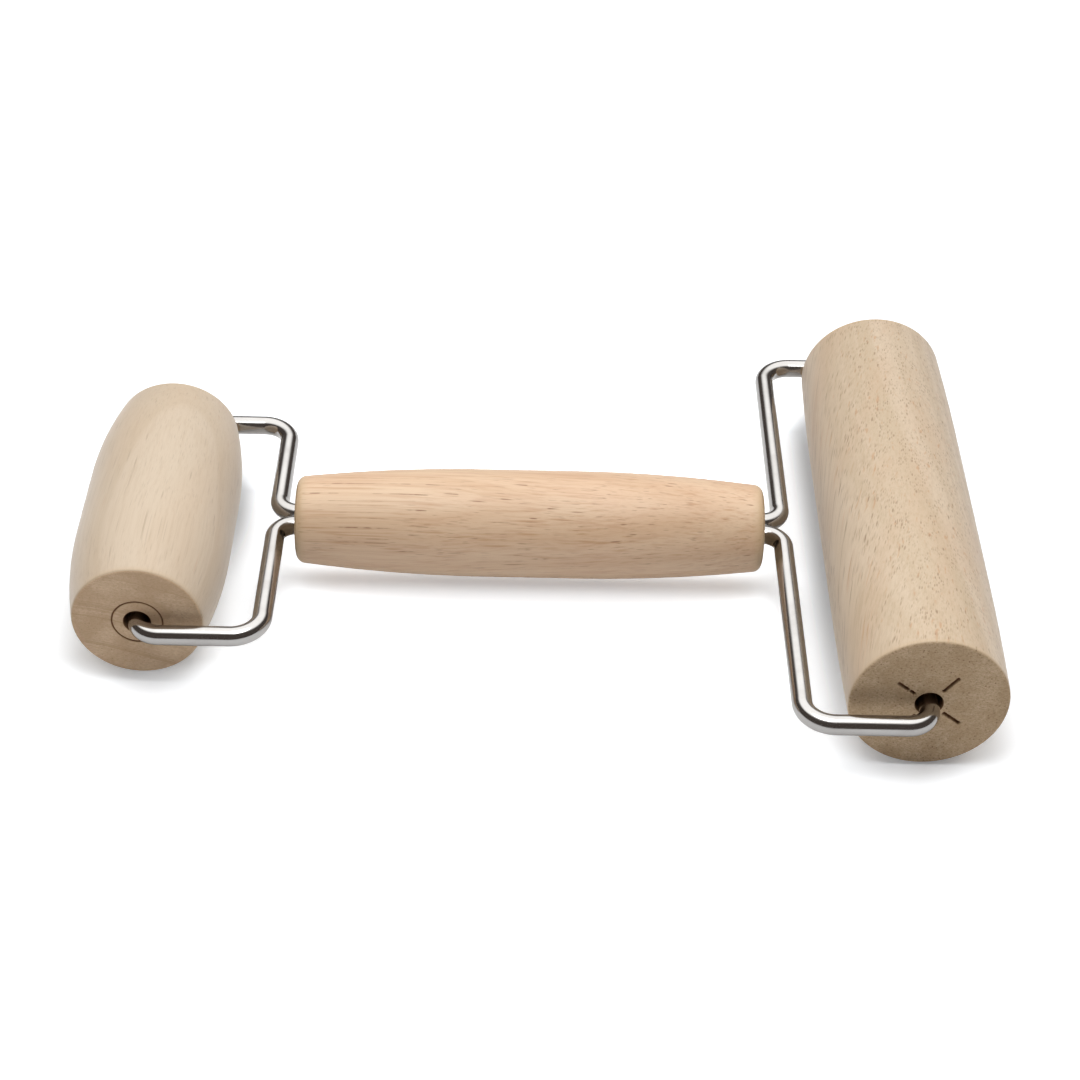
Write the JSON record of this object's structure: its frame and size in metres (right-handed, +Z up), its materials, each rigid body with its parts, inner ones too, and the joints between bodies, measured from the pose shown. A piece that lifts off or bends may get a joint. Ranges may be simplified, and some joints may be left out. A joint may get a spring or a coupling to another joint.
{
  "type": "dough roller",
  "caption": "Double-ended hand roller: a turned wooden grip with a bent-wire fork at each end, holding a long cylindrical roller and a short barrel-shaped roller.",
  "frame": {"origin": "on the table, under the middle of the grip and midway between the arms of the wide fork", "axes": "+X along the grip towards the large roller, +Y along both roller axes, +Z up from the table"},
  "size_m": [0.1853, 0.1242, 0.032],
  "materials": {
    "grip_wood": "sanded, unlacquered",
    "roller_wood": "sanded, unlacquered",
    "plated_wire": "bright plated"
  },
  "bodies": {
    "frame": {"handle": "grip_wood", "large_fork_front_wire": "plated_wire", "large_fork_rear_wire": "plated_wire", "small_fork_front_wire": "plated_wire", "small_fork_rear_wire": "plated_wire"},
    "large_roller": {"large_roller": "roller_wood"},
    "small_roller": {"small_roller": "roller_wood"}
  },
  "joints": [
    {"name": "large_roller_spin", "type": "hinge", "parent": "frame", "child": "large_roller", "pos_m": [0.0767, 0.0013, 0.016], "axis": [0, 1, 0], "continuous": true},
    {"name": "small_roller_spin", "type": "hinge", "parent": "frame", "child": "small_roller", "pos_m": [-0.0769, -0.0023, 0.0157], "axis": [0, 1, 0], "continuous": true}
  ]
}
